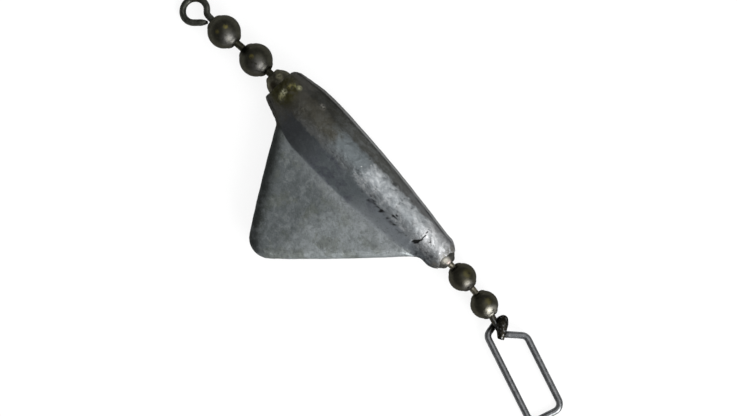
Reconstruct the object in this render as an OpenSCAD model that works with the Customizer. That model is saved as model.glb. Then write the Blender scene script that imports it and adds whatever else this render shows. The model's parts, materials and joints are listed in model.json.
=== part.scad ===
// Keel sinker with a swivelling bead chain at each end, in millimetres.
// The casting lies on its side: +X runs from the line eye to the snap, the keel points to -Y,
// +Z is up and Z = 0 is the surface that it lies on.
// The bodies below are first placed along the casting's own axis, with the front anchor bead's
// centre at zero, and then moved so that the middle of the whole part is over the origin.

/* [Casting] */
// Distance between the centres of the two beads that are cast in
anchor_span = 33; // [28:0.1:40]
// Diameter of the two beads that are cast in
anchor_bead_d = 3.97; // [3.9:0.01:4.04]
// Wall thickness of the two beads that are cast in
anchor_wall = 0.35; // [0.32:0.01:0.38]
// Largest diameter of the torpedo
torpedo_d = 7; // [6.4:0.1:8]
// Diameter of the torpedo at its front face
nose_d = 5.2; // [5:0.1:6]
// Diameter of the torpedo at its rear face
tail_d = 4.4; // [4.3:0.1:5]
// Distance from the front bead to where the torpedo is fullest
belly_x = 8.4; // [6:0.2:10]
// Distance from the rear bead to where the rear taper ends
taper_end = 1.6; // [1:0.1:3]
// How far the lead wraps over the middle of the front cast-in bead
front_wrap = 0.12; // [0.08:0.01:0.3]
// How far the lead wraps over the middle of the rear cast-in bead
rear_wrap = 0.4; // [0.1:0.01:0.5]
// Thickness of the lead's lip round the cast-in beads
lip_t = 0.1; // [0.08:0.01:0.2]
// Length over which the casting is drawn in to those lips
end_round = 1.15; // [0.8:0.05:1.4]
// Radius of the corner where the rim meets the front face on the keel's side
face_round = 0.5; // [0.3:0.1:0.8]
// Thickness of the parting rim
rim_t = 0.6; // [0.4:0.1:0.9]
// Width of the parting rim along the back
rim_w = 0.65; // [0.5:0.05:1]
// Width of the parting rim where the back reaches the rear face
rim_tail_w = 0.45; // [0.3:0.05:0.8]
// Width of the parting rim at the front face, and on the keel's side at the rear face
rim_end_w = 0.25; // [0.2:0.05:0.4]

/* [Keel] */
// Distance from the axis to the lowest point of the keel
keel_depth = 18.9; // [16:0.1:24]
// Distance from the front bead to the keel's lowest point
keel_tip_x = 14.8; // [12:0.1:18]
// Radius of the keel's rounded corner
keel_corner_r = 3; // [2:0.1:4]
// Distance from the front bead to where the leading edge starts
keel_front_x = 3.5; // [2.5:0.1:4.5]
// Distance from the rear bead to where the trailing edge ends
keel_rear_gap = 3.2; // [2:0.1:5]
// Distance from the axis to both ends of the keel's edge
keel_root = 3.9; // [3.6:0.1:4.2]
// How far each long edge of the keel bows outwards
keel_bow = 0.25; // [0:0.05:0.5]
// Thickness of the keel
keel_t = 2.3; // [1.6:0.1:3]
// Width of the rounded band along the keel's edge
keel_band = 1.3; // [0.8:0.1:2]
// Distance from the axis to the crease between the torpedo's flank and the keel's plate
keel_crease = 4.85; // [4.5:0.05:5.5]

/* [Front chain] */
// Diameter of the front beads
front_bead_d = 4.76; // [4.6:0.02:4.9]
// Wall thickness of the front beads
front_wall = 0.4; // [0.35:0.01:0.45]
// Diameter of the holes in the front beads
front_hole_d = 1.8; // [1.76:0.01:1.84]
// Diameter of the ball heads in the front beads
front_head_d = 2; // [1.96:0.01:2.04]
// Length of the front links between their heads' centres
front_link_l = 3.5; // [3.2:0.01:4]
// Wire diameter of the front links
front_link_d = 1.04; // [0.9:0.01:1.08]
// How far the inner link is pushed in at each end
front_slack = 0.32; // [0.2:0.01:0.33]

/* [Rear chain] */
// Diameter of the rear beads
rear_bead_d = 3.97; // [3.9:0.01:4.04]
// Wall thickness of the rear beads
rear_wall = 0.35; // [0.32:0.01:0.38]
// Diameter of the holes in the rear beads
rear_hole_d = 1.56; // [1.52:0.01:1.58]
// Diameter of the ball heads in the rear beads
rear_head_d = 1.72; // [1.7:0.01:1.74]
// Length of the rear links between their heads' centres
rear_link_l = 2.98; // [2.8:0.01:3.4]
// Wire diameter of the rear links
rear_link_d = 0.92; // [0.84:0.01:0.94]
// How far the inner link is pushed in at each end
rear_slack = 0.22; // [0.15:0.01:0.24]

/* [Line eye] */
// Wire diameter of the eye
eye_wire_d = 0.95; // [0.85:0.01:1]
// Inside width of the eye's loop
eye_inside_w = 2.58; // [2.3:0.02:3]
// Length of the shank from its head's centre to the bend
eye_shank_l = 2.4; // [2.3:0.05:3]
// Angle of the bend between the shank and the loop
eye_bend_a = 44; // [40:1:48]
// Straight run between that bend and the loop
eye_run_l = 0.55; // [0.5:0.05:0.8]
// Bend radius of the wire at the foot of the loop
eye_bend_r = 0.8; // [0.7:0.05:1]
// Straight left between two bends of the loop
eye_flat_l = 0.1; // [0.05:0.05:0.4]
// Straight run from the loop to where its end is cut to a taper
eye_end_l = 1.05; // [0.8:0.05:1.15]
// Length of the taper
eye_taper_l = 0.9; // [0.5:0.05:0.95]
// Diameter of the cut tip
eye_tip_d = 0.45; // [0.3:0.05:0.6]

/* [Snap] */
// Wire diameter of the snap
snap_wire_d = 0.9; // [0.8:0.01:0.95]
// Distance between the centres of the two long sides
snap_w = 5; // [4.4:0.05:6]
// Distance from the head's centre to the centre of the far end's wire
snap_l = 17.15; // [15:0.05:20]
// Length of the shank from its head's centre to the neck
snap_shank_l = 3.9; // [3.7:0.1:4.4]
// Share of the width that lies on the side of the fixed shoulder
snap_offset_share = 0.595; // [0.56:0.005:0.62]
// Distance from the neck to the corner of the fixed shoulder
snap_fixed_x = 1.75; // [1.4:0.05:2]
// Distance from the neck back to the corner of the free shoulder
snap_free_x = 0.8; // [0.6:0.05:1]
// Turn of the snap's long sides from its shank
snap_turn = 3.5; // [2:0.5:5]
// Bend radius of the corners at the far end
snap_corner_r = 1.2; // [0.9:0.05:1.6]
// Bend radius of the neck and of the free shoulder
snap_neck_r = 0.95; // [0.8:0.05:1.1]
// Bend radius of the fixed shoulder
snap_fixed_r = 1.15; // [0.9:0.05:1.3]
// Bend radius of the hook
snap_hook_r = 0.9; // [0.8:0.01:0.92]

/* [Fits] */
// Gap between a cast-in bead and the lead round it
cast_gap = 0.03; // [0.02:0.005:0.06]
// Gap between a seated head and the edge of its hole
seat_gap = 0.02; // [0.01:0.005:0.03]
// Width of the seam left open along a rolled bead
seam_gap = 0.08; // [0.05:0.01:0.12]
// Gap between the snap's hook and the neck that it holds
hook_gap = 0.1; // [0.05:0.01:0.15]

/* [Hidden] */
$fn = 48;

// Overrun of the cuts
over = 0.5;
// How much thicker a bend of wire is drawn than the straights that run into it, and how far they
// run in, so that every bend and straight is one piece
bend_swell = 0.02;
bend_overlap = 0.04;
// Steps round a wire
wire_fn = 24;

// How the chain lies, as [turn to the left, dip] in degrees seen outwards from the casting:
// inner link, middle bead, outer link, end bead, and the eye or snap
front_lie = [[2.2, 14.5], [4, 12], [6.6, -6], [3.5, 6], [0, 17.4]];
rear_lie = [[1.1, 14.5], [-1.2, 12], [-4.4, 5.2], [-8.8, 4.6], [-13, 4.9]];
// Turn of each bead about its own axis, which sets where its seam shows
seam_turns = [200, 160, 215, 170, 190, 205];

// Where a head sits in its bead, from the bead's centre along its axis
function seat(bead_d, wall, hole_d, head_d) =
    sqrt(pow(bead_d / 2 - wall, 2) - pow(hole_d / 2, 2))
    - sqrt(pow(head_d / 2 + seat_gap, 2) - pow(hole_d / 2, 2));
front_seat = seat(front_bead_d, front_wall, front_hole_d, front_head_d);
rear_seat = seat(rear_bead_d, rear_wall, rear_hole_d, rear_head_d);
front_anchor_seat = seat(anchor_bead_d, anchor_wall, front_hole_d, front_head_d);
rear_anchor_seat = seat(anchor_bead_d, anchor_wall, rear_hole_d, rear_head_d);

// Direction of a piece that turns left and dips
function heading(lie) = [cos(lie[0]) * cos(lie[1]), sin(lie[0]) * cos(lie[1]), -sin(lie[1])];

// The places along one chain, outwards from the centre of its cast-in bead: four heads and beads
// in turn, then the head of the eye or snap
function chain(lie, anchor_l, seat_l, slack, link_l) =
    let (
        first = [anchor_l - slack, 0, 0],
        second = first + link_l * heading(lie[0]),
        middle = second + (seat_l - slack) * heading(lie[1]),
        third = middle + seat_l * heading(lie[1]),
        fourth = third + link_l * heading(lie[2]),
        end = fourth + seat_l * heading(lie[3]),
        last = end + seat_l * heading(lie[3])
    )
    [first, middle, third, end, last];
front_places = chain(front_lie, front_anchor_seat, front_seat, front_slack, front_link_l);
rear_places = chain(rear_lie, rear_anchor_seat, rear_seat, rear_slack, rear_link_l);

// The loop of the eye and the outline of the snap, in their own planes
loop_shares = [[1, -1], [1, 1], [-1, 1]];
eye_loop_r = (eye_inside_w + eye_wire_d) / 2;
eye_loop_at = [eye_shank_l, 0] + eye_run_l * [cos(eye_bend_a), -sin(eye_bend_a)]
    + eye_loop_r * [sin(eye_bend_a), cos(eye_bend_a)];
snap_fixed_y = snap_w * snap_offset_share;
snap_free_y = snap_w - snap_fixed_y;
snap_far_x = snap_l - snap_shank_l;
// The hook's bends, in shares of the free shoulder's two sizes and of one wire's layer: under the
// shank, below the top of the hook, above it, and the foot
hook_shares = [[-2, -0.17, -1], [-2.5, 0.55, -1], [-2.1, 0.68, 1], [0.5, -0.25, 1]];

// The middle of the whole part, measured on the eye's loop, the snap's far corner, the back and
// the keel
eye_middle = front_places[4] + eye_loop_at[0] * heading(front_lie[4])
    + eye_loop_at[1] * heading([front_lie[4][0] + 90, 0]);
eye_reach = eye_middle[0] + eye_wire_d / 2
    + eye_loop_r * sqrt(1 - pow(cos(front_lie[4][0]) * sin(front_lie[4][1]), 2));
snap_heading = rear_lie[4][0] - snap_turn;
snap_corner = [snap_far_x - snap_corner_r, snap_fixed_y - snap_corner_r];
snap_reach = anchor_span + rear_places[4][0]
    + (snap_shank_l * cos(rear_lie[4][0]) + snap_corner[0] * cos(snap_heading)) * cos(rear_lie[4][1])
    - snap_corner[1] * sin(snap_heading) + snap_corner_r + snap_wire_d / 2;
middle_x = (snap_reach - eye_reach) / 2;
middle_y = (torpedo_d / 2 + rim_w - keel_depth) / 2;

// Radius of the torpedo at a distance along the axis
rise_power = 0.85;
taper_power = 1.95;
face_x = -front_wrap;
tail_x = anchor_span + rear_wrap;
function torpedo_r(x) =
    let (
        rise = max(0, (x - face_x) / (belly_x - face_x)),
        fall = min(1, (x - belly_x) / (anchor_span - taper_end - belly_x))
    )
    x < belly_x
        ? nose_d / 2 + (torpedo_d - nose_d) / 2 * pow(sin(90 * rise), rise_power)
        : torpedo_d / 2 - (torpedo_d - tail_d) / 2 * pow(fall, taper_power);

// How far a rounded corner has risen, as a share of its height, at a distance in from its end
function risen(from_end, length) = sqrt(1 - pow(1 - min(1, max(0, from_end / length)), 2));

// The pocket round a cast-in bead, and how the casting is drawn in to the lip at each end face: all
// round at the rear, and on the back and the two sides at the front
pocket_r = anchor_bead_d / 2 + cast_gap;
function lip_edge(wrap) = sqrt(pow(pocket_r, 2) - pow(wrap, 2)) + lip_t;
function drawn_in(x, from_end, wrap) =
    1 - (1 - lip_edge(wrap) / torpedo_r(x)) * (1 - risen(from_end, end_round));
function rear_drawn(x) = drawn_in(x, tail_x - x, rear_wrap);
function both_drawn(x) = rear_drawn(x) * drawn_in(x, x - face_x, front_wrap);

// Width of the rim along the back, and on the keel's side, where it swells at the keel's start
rim_rise_share = 0.6;
rim_swell_share = 0.45;
rim_foot_share = 0.2;
function foot(from_end, length) = rim_foot_share + (1 - rim_foot_share) * risen(from_end, length);
function back_rim(x) =
    let (
        rise = min(1, max(0, x) / (belly_x * rim_rise_share)),
        fall = max(0, x - belly_x) / (anchor_span - belly_x)
    )
    (rim_end_w + (rim_w - rim_end_w) * rise - (rim_w - rim_tail_w) * fall)
        * foot(min(x - face_x, tail_x - x), end_round);
function keel_rim(x) =
    let (
        along = max(0, 1 - abs(x - keel_front_x) / keel_front_x),
        swell = (keel_root - nose_d / 2) * rim_swell_share
    )
    (rim_end_w + swell * along) * foot(x - face_x, face_round) * foot(tail_x - x, end_round);

// The keel's edge: two lines that touch the corner's circle, each with a slight bow
keel_front = [keel_front_x, keel_root];
keel_rear = [anchor_span - keel_rear_gap, keel_root];
corner_at = [keel_tip_x, keel_depth - keel_corner_r];
function angle_of(v) = atan2(v[1], v[0]);
front_edge_a = angle_of(corner_at - keel_front) + asin(keel_corner_r / norm(corner_at - keel_front));
rear_edge_a = angle_of(corner_at - keel_rear) - asin(keel_corner_r / norm(corner_at - keel_rear));
front_touch = corner_at + keel_corner_r * [-sin(front_edge_a), cos(front_edge_a)];
rear_touch = corner_at + keel_corner_r * [sin(rear_edge_a), -cos(rear_edge_a)];
function bowed(x, from, to) =
    let (along = (x - from[0]) / (to[0] - from[0]))
    from[1] + (to[1] - from[1]) * along + keel_bow * max(0, 4 * along * (1 - along));
function keel_edge(x) =
    x < front_touch[0] ? bowed(x, keel_front, front_touch)
    : x > rear_touch[0] ? bowed(x, keel_rear, rear_touch)
    : corner_at[1] + sqrt(pow(keel_corner_r, 2) - pow(x - corner_at[0], 2));

// The larger of two heights, rounded where they meet within a given height of each other
function round_max(a, b, blend) = max(a, b) + pow(max(0, blend - abs(a - b)), 2) / (4 * blend);

// Distance from the axis to the outline on the keel's side
notch_blend = rim_w;
function keel_reach(x) = round_max(torpedo_r(x) + keel_rim(x), keel_edge(x), notch_blend);
slope_step = rim_t / 4;
function keel_slope(x) = (keel_reach(x + slope_step) - keel_reach(x - slope_step)) / (2 * slope_step);

// Half thickness of the rim and keel at a distance in from their edge
function edge_height(in_from_edge, band, full) =
    rim_t / 2 + (full - rim_t / 2) * risen(in_from_edge, band);

// Angle at the axis between the parting plane and the place where a straight flank, drawn from a
// corner beside the round, touches the round
function touch_a(corner, r) = atan2(corner[1], corner[0]) + acos(r / norm(corner));

// A share that eases in and out between zero and one
function eased(along) =
    let (share = min(1, max(0, along)))
    share * share * (3 - 2 * share);

// How far the crease stands off the round, as a share of the radius: it grows from the front face
crease_off = keel_crease - torpedo_d / 2;
function crease_share(x) = crease_off / (torpedo_d / 2) * eased(x / (2 * keel_front_x));

// Most of the width outside the round that a flank may take, on the back and on the keel's side,
// and the most of the plate that the edge band may take
back_flank_share = 0.45;
keel_flank_share = 0.7;
most_band_share = 0.8;

// Angles of the outline's points on the round, from the back's flank over the crest, which always
// has one, to the keel's flank
back_steps = 6;
keel_steps = 7;
function round_angles(from_a, to_a) = concat(
    [for (i = [0:back_steps - 1]) from_a + (90 - from_a) * i / back_steps],
    [for (i = [0:keel_steps]) 90 + (to_a - 90) * i / keel_steps]
);

// Shares of the back's edge, of the flank, of the plate and of the edge band at which the outline
// has points
back_edge_shares = [[0.04, 0.55], [0.4, 0.93]];
flank_shares = [0.5, 1];
plate_shares = [0.3, 0.65, 1];
band_shares = [0.72, 0.48, 0.28, 0.13, 0.04];

// Outline of the upper half at a distance along the axis, from the back round to the keel: the
// rim, a straight flank, the round, the flank that runs down to the crease, and the keel's plate
function half_outline(x) =
    let (
        r = torpedo_r(x),
        reach = keel_reach(x),
        full = rim_t / 2 + (keel_t - rim_t) / 2 * eased((reach - r) / (2 * crease_off)),
        back = r + back_rim(x),
        back_corner = [r + back_rim(x) * back_flank_share, rim_t / 2],
        corner = [r + min(r * crease_share(x), (reach - r) * keel_flank_share), full],
        lean = sqrt(1 + pow(keel_slope(x), 2)),
        band = min(keel_band * lean, (reach - corner[0]) * most_band_share),
        band_from = reach - band,
        from_a = touch_a(back_corner, r),
        to_a = 180 - touch_a(corner, r),
        touch = [-r * cos(to_a), r * sin(to_a)]
    )
    concat(
        [[-back, 0]],
        [for (share = back_edge_shares)
            [-back + share[0] * (back - back_corner[0]), share[1] * rim_t / 2]],
        [[-back_corner[0], back_corner[1]]],
        [for (a = round_angles(from_a, to_a)) [-r * cos(a), r * sin(a)]],
        [for (share = flank_shares) touch + share * (corner - touch)],
        [for (share = plate_shares) [corner[0] + (band_from - corner[0]) * share, full]],
        [for (share = band_shares)
            [reach - band * share, edge_height(band * share, band, full)]],
        [[reach, rim_t / 4], [reach, 0]]
    );

// A whole ring of the casting: the upper half, then the lower half back again
function ring(x) =
    let (
        half = [for (p = half_outline(x))
            [p[0] * (p[0] < 0 ? both_drawn(x) : rear_drawn(x)), p[1] * both_drawn(x)]],
        n = len(half)
    )
    concat(
        [for (p = half) [x, -p[0], p[1]]],
        [for (i = [n - 2:-1:1]) [x, -half[i][0], -half[i][1]]]
    );

// A round ring whose points stand at the same angles as those of the nearest end face
function round_ring(x, r, face) =
    [for (p = face) let (d = norm([p[1], p[2]])) [x, r * p[1] / d, r * p[2] / d]];

// The pocket of a cast-in bead, as rings from the plug of lead in the bead's inner hole to the
// lip. side is 1 at the front and -1 at the rear. The plug ends short of the bead's inside.
pocket_steps = 8;
plug_short = 0.25;
function pocket(at, side, wrap, hole_d, face) =
    let (
        plug_r = hole_d / 2 - cast_gap,
        plug_tip = sqrt(pow(anchor_bead_d / 2 - anchor_wall, 2) - pow(hole_d / 2, 2)) - plug_short,
        from_a = asin(plug_r / pocket_r),
        to_a = acos(-wrap / pocket_r)
    )
    concat(
        [round_ring(at + side * plug_tip, plug_r, face)],
        [for (i = [0:pocket_steps])
            let (a = from_a + (to_a - from_a) * i / pocket_steps)
            round_ring(at + side * pocket_r * cos(a), pocket_r * sin(a), face)]
    );
function backwards(list) = [for (i = [len(list) - 1:-1:0]) list[i]];

// Stations along the casting, closer together where its outline turns
function stations(from, to, count) = [for (i = [0:count - 1]) from + (to - from) * i / count];
end_steps = 6;
end_stations = [for (i = [0:end_steps]) end_round * (1 - cos(90 * i / end_steps))];
blend_x = keel_rear[0] - 3 * notch_blend;
all_stations = concat(
    [for (i = [0:end_steps - 1]) face_x + end_stations[i]],
    stations(face_x + end_round, keel_front_x, 4),
    stations(keel_front_x, keel_front_x + 3 * notch_blend, 6),
    stations(keel_front_x + 3 * notch_blend, front_touch[0], 6),
    stations(front_touch[0], rear_touch[0], 9),
    stations(rear_touch[0], blend_x, 8),
    stations(blend_x, tail_x - end_round, 7),
    [for (at = backwards(end_stations)) tail_x - at]
);

// A closed skin over a list of rings that have the same number of points, each of its quads split
// along the shorter diagonal
module skin(rings) {
    n = len(rings[0]);
    last = len(rings) - 1;
    points = [for (r = rings) each r];
    polyhedron(
        points = points,
        faces = concat(
            [[for (i = [0:n - 1]) i]],
            [for (j = [0:last - 1]) for (i = [0:n - 1])
                let (
                    a = j * n + i,
                    b = a + n,
                    d = j * n + (i + 1) % n,
                    c = d + n,
                    halves = norm(points[a] - points[c]) < norm(points[b] - points[d])
                        ? [[a, b, c], [a, c, d]]
                        : [[a, b, d], [b, c, d]]
                )
                each halves],
            [[for (i = [n - 1:-1:0]) last * n + i]]
        )
    );
}

// A length of wire through points, each inner one rounded by its bend radius, with a ball head at
// its start
function unit(v) = v / norm(v);
function turn_at(points, i) =
    acos(min(1, unit(points[i] - points[i - 1]) * unit(points[i + 1] - points[i])));
function trim_at(points, bends, i) =
    i == 0 || i == len(points) - 1 ? 0 : bends[i - 1] * tan(turn_at(points, i) / 2) - bend_overlap;
module straight(points, bends, wire_d, i) {
    along = unit(points[i + 1] - points[i]);
    from = trim_at(points, bends, i);
    long = norm(points[i + 1] - points[i]) - from - trim_at(points, bends, i + 1);
    translate(points[i] + from * along)
        rotate([0, acos(along[2]), atan2(along[1], along[0])])
            cylinder(h = long, d = wire_d, $fn = wire_fn);
}
module bend(points, bends, wire_d, i) {
    along = unit(points[i] - points[i - 1]);
    next = unit(points[i + 1] - points[i]);
    inwards = unit(next - (next * along) * along);
    across = cross(-inwards, along);
    middle = points[i] - bends[i - 1] * tan(turn_at(points, i) / 2) * along + bends[i - 1] * inwards;
    multmatrix([
        [-inwards[0], along[0], across[0], middle[0]],
        [-inwards[1], along[1], across[1], middle[1]],
        [-inwards[2], along[2], across[2], middle[2]]
    ])
        arc(bends[i - 1], turn_at(points, i), wire_d);
}
module arc(bend_r, turn, wire_d) {
    rotate_extrude(angle = turn)
        translate([bend_r, 0])
            circle(d = wire_d + bend_swell, $fn = wire_fn);
}
module bent_wire(points, bends, wire_d, head_d) {
    rotate([0, 90, 0])
        sphere(d = head_d);
    straight(points, bends, wire_d, 0);
    for (i = [1:len(points) - 2]) {
        bend(points, bends, wire_d, i);
        straight(points, bends, wire_d, i);
    }
}

// Moves its children from the casting's axis to their place over the origin
module in_place() {
    translate([-middle_x, -middle_y, torpedo_d / 2])
        children();
}

// Places its children on the front chain, which leaves the casting backwards, or the rear chain
module on_front(at, lie) {
    in_place()
        rotate([0, 0, 180])
            translate(at)
                rotate([0, lie[1], lie[0]])
                    children();
}
module on_rear(at, lie) {
    in_place()
        translate([anchor_span, 0, 0] + at)
            rotate([0, lie[1], lie[0]])
                children();
}

// A hollow bead rolled from strip, with a hole at each end and an open seam between them
module bead(bead_d, wall, hole_d, seam_a) {
    rotate([seam_a, 0, 0])
        difference() {
            sphere(d = bead_d);
            sphere(d = bead_d - 2 * wall);
            rotate([0, 90, 0])
                cylinder(h = bead_d + 2 * over, d = hole_d, center = true);
            translate([-bead_d, -seam_gap / 2, 0])
                cube([2 * bead_d, seam_gap, bead_d]);
        }
}

// A wire link with a ball head at each end and a short flare under each head
flare_share = 0.78;
module link(link_l, wire_d, head_d) {
    flare_d = head_d * flare_share;
    flare_from = sqrt(pow(head_d, 2) - pow(flare_d, 2)) / 2;
    flare_l = (flare_d - wire_d) / 2;
    rotate([0, 90, 0]) {
        cylinder(h = link_l, d = wire_d);
        for (end = [0, 1]) {
            translate([0, 0, end * link_l])
                mirror([0, 0, end]) {
                    sphere(d = head_d);
                    translate([0, 0, flare_from])
                        cylinder(h = flare_l, d1 = flare_d, d2 = wire_d);
                }
        }
    }
}

// The keel sinker's casting, with a pocket for a bead in each end face
module keel_lead() {
    rings = [for (x = all_stations) ring(x)];
    front = rings[0];
    rear = rings[len(rings) - 1];
    front_pocket = pocket(0, 1, front_wrap, front_hole_d, front);
    rear_pocket = pocket(anchor_span, -1, rear_wrap, rear_hole_d, rear);
    color("#6c7074")
        in_place()
            skin(concat(front_pocket, rings, backwards(rear_pocket)));
}

module front_anchor_bead() {
    color("#5c5a46")
        on_front([0, 0, 0], [0, 0])
            bead(anchor_bead_d, anchor_wall, front_hole_d, seam_turns[0]);
}

module front_inner_link() {
    color("#57564c")
        on_front(front_places[0], front_lie[0])
            link(front_link_l, front_link_d, front_head_d);
}

module front_middle_bead() {
    color("#4b4a42")
        on_front(front_places[1], front_lie[1])
            bead(front_bead_d, front_wall, front_hole_d, seam_turns[1]);
}

module front_outer_link() {
    color("#57564c")
        on_front(front_places[2], front_lie[2])
            link(front_link_l, front_link_d, front_head_d);
}

module front_end_bead() {
    color("#4b4a42")
        on_front(front_places[3], front_lie[3])
            bead(front_bead_d, front_wall, front_hole_d, seam_turns[2]);
}

// The eye that the line is tied to: one wire with a head, a shank, and a loop beside the shank
// whose end is cut to a taper and closes on it
module line_eye() {
    up = [cos(eye_bend_a), -sin(eye_bend_a), 0];
    side = [sin(eye_bend_a), cos(eye_bend_a), 0];
    bend_at = [eye_shank_l, 0, 0];
    middle = bend_at + eye_run_l * up + eye_loop_r * side;
    corners = [for (share = loop_shares) middle + eye_loop_r * (share[0] * up + share[1] * side)];
    end = middle - eye_loop_r * up - eye_end_l * side;
    loop_bend_r = eye_loop_r - eye_flat_l / 2;
    color("#6a6963")
        on_front(front_places[4], front_lie[4]) {
            bent_wire(concat([[0, 0, 0], bend_at], corners, [end]),
                [eye_bend_r, loop_bend_r, loop_bend_r, loop_bend_r], eye_wire_d, front_head_d);
            translate(end + bend_overlap * side)
                rotate([0, -90, 90 - eye_bend_a])
                    cylinder(h = eye_taper_l + bend_overlap, d1 = eye_wire_d - bend_swell,
                        d2 = eye_tip_d, $fn = wire_fn);
        }
}

module rear_anchor_bead() {
    color("#6b6450")
        on_rear([0, 0, 0], [0, 0])
            bead(anchor_bead_d, anchor_wall, rear_hole_d, seam_turns[3]);
}

module rear_inner_link() {
    color("#7d7461")
        on_rear(rear_places[0], rear_lie[0])
            link(rear_link_l, rear_link_d, rear_head_d);
}

module rear_middle_bead() {
    color("#4b4a42")
        on_rear(rear_places[1], rear_lie[1])
            bead(rear_bead_d, rear_wall, rear_hole_d, seam_turns[4]);
}

module rear_outer_link() {
    color("#7d7461")
        on_rear(rear_places[2], rear_lie[2])
            link(rear_link_l, rear_link_d, rear_head_d);
}

module rear_end_bead() {
    color("#4b4a42")
        on_rear(rear_places[3], rear_lie[3])
            bead(rear_bead_d, rear_wall, rear_hole_d, seam_turns[5]);
}

// The snap: one wire from its head through the neck and the fixed shoulder, down one long side,
// across the far end, up the other side, under the shank and over it again in a hook that a thumb
// can lift
module lure_snap() {
    layer = snap_wire_d + hook_gap;
    neck = [snap_shank_l, 0, 0];
    lean = [
        [cos(snap_turn), sin(snap_turn), 0],
        [-sin(snap_turn), cos(snap_turn), 0],
        [0, 0, 1]
    ];
    frame = [[snap_fixed_x, snap_fixed_y, 0], [snap_far_x, snap_fixed_y, 0],
        [snap_far_x, -snap_free_y, 0], [-snap_free_x, -snap_free_y, 0]];
    hook = [for (share = hook_shares)
        [share[0] * snap_free_x, share[1] * snap_free_y, share[2] * layer]];
    points = concat([[0, 0, 0], neck], [for (p = concat(frame, hook)) neck + lean * p]);
    bends = [snap_neck_r, snap_fixed_r, snap_corner_r, snap_corner_r, snap_neck_r, snap_hook_r,
        snap_hook_r, snap_hook_r];
    color("#8b8d90")
        on_rear(rear_places[4], rear_lie[4])
            bent_wire(points, bends, snap_wire_d, rear_head_d);
}

keel_lead();
front_anchor_bead();
front_inner_link();
front_middle_bead();
front_outer_link();
front_end_bead();
line_eye();
rear_anchor_bead();
rear_inner_link();
rear_middle_bead();
rear_outer_link();
rear_end_bead();
lure_snap();
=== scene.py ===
# %% [markdown]
# # A keel sinker with a bead chain at each end
# A lead casting hangs between two short swivel chains of hollow beads, with an eye for the line at
# the front and a wire snap for the lure at the rear. The CAD model gives every size and place. This
# lesson dresses it: each visible piece is shaped again with the small faults of the real one, and
# gets a finish made of nodes.

# %% Load the CAD model as the frame
import json
import math
import bmesh
import bpy
from mathutils import Matrix, Vector, noise


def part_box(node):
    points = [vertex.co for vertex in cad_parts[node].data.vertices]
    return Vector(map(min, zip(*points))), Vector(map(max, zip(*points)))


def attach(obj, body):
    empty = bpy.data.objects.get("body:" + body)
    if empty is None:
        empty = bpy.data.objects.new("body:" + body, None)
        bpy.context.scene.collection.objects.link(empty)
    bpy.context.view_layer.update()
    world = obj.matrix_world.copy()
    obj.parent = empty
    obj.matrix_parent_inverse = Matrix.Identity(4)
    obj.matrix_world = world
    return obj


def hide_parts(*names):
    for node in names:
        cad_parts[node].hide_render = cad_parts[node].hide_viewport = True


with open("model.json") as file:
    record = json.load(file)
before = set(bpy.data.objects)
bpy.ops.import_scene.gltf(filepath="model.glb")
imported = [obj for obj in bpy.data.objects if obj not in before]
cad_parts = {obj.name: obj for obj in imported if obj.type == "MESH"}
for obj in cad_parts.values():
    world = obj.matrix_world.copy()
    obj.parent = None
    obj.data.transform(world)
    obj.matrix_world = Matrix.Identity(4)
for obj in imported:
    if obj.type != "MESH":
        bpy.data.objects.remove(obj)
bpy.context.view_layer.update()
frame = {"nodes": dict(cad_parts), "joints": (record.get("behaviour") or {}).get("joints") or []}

MM = 0.001
noise.seed_set(1)        # without a seed, noise vectors take their offsets from the clock
print("nodes:", ", ".join(sorted(frame["nodes"])))

# %% [markdown]
# ## Where things are
# The casting lies along X. The centres of the two beads that are cast into its ends give its axis,
# and the joints of the chain give the centre of every ball head, so no place is typed in twice.

# %% Find the axis of the casting and the heads of the chain
def middle_of(node):
    low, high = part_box(node)
    return (low + high) / 2

FRONT = middle_of("front_anchor_bead")
REAR = middle_of("rear_anchor_bead")
SPAN = (REAR - FRONT).x / MM
joint_at = {j["name"]: Vector(j["pos_m"]) for j in frame["joints"]}
joint_axis = {j["name"]: Vector(j["axis"]) for j in frame["joints"]}
print("distance between the cast-in beads: %.2f mm" % SPAN)

# %% [markdown]
# ## Camera
# The photograph looks straight down on the sinker from well above it. The body runs down to the
# right at 46.8 degrees, and a millimetre covers 7.08 pixels. A long lens from far away gives almost
# no perspective, as in the picture.

# %% Place the camera
PX_PER_MM = 7.08
PICTURE = (738, 416)
FRONT_PX = (280.56, 83.93)
TILT = math.radians(46.77)
CAMERA_ABOVE = 0.6

right = Vector((math.cos(TILT), math.sin(TILT), 0))
up = Vector((-math.sin(TILT), math.cos(TILT), 0))
aim = FRONT + right * (PICTURE[0] / 2 - FRONT_PX[0]) * MM / PX_PER_MM
aim -= up * (PICTURE[1] / 2 - FRONT_PX[1]) * MM / PX_PER_MM

camera = bpy.data.objects.new("camera", bpy.data.cameras.new("camera"))
bpy.context.scene.collection.objects.link(camera)
camera.data.lens = camera.data.sensor_width * CAMERA_ABOVE / (PICTURE[0] / PX_PER_MM * MM)
camera.data.clip_start = 0.01
camera.location = aim + Vector((0, 0, CAMERA_ABOVE))
camera.rotation_euler = (0, 0, TILT)
bpy.context.scene.camera = camera
print("lens %.0f mm, aimed at" % camera.data.lens, tuple(round(x / MM, 2) for x in aim))

# %% [markdown]
# ## A bench for node materials
# Every finish below is a Principled shader with a few textures. They read Object coordinates, which
# a Mapping node turns into millimetres from the front bead: x runs along the casting, y across it
# and z up. That makes a stain or a scratch stay at its place on the piece, at a size that can be
# thought about in millimetres. A worn metal loses its shine where it is seen edge-on, so every
# finish also says how bright its edge stays.

# %% Helpers that place and join shader nodes
DULL_EDGE = 0.2

def grey(value):
    return (value, value, value, 1)

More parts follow.
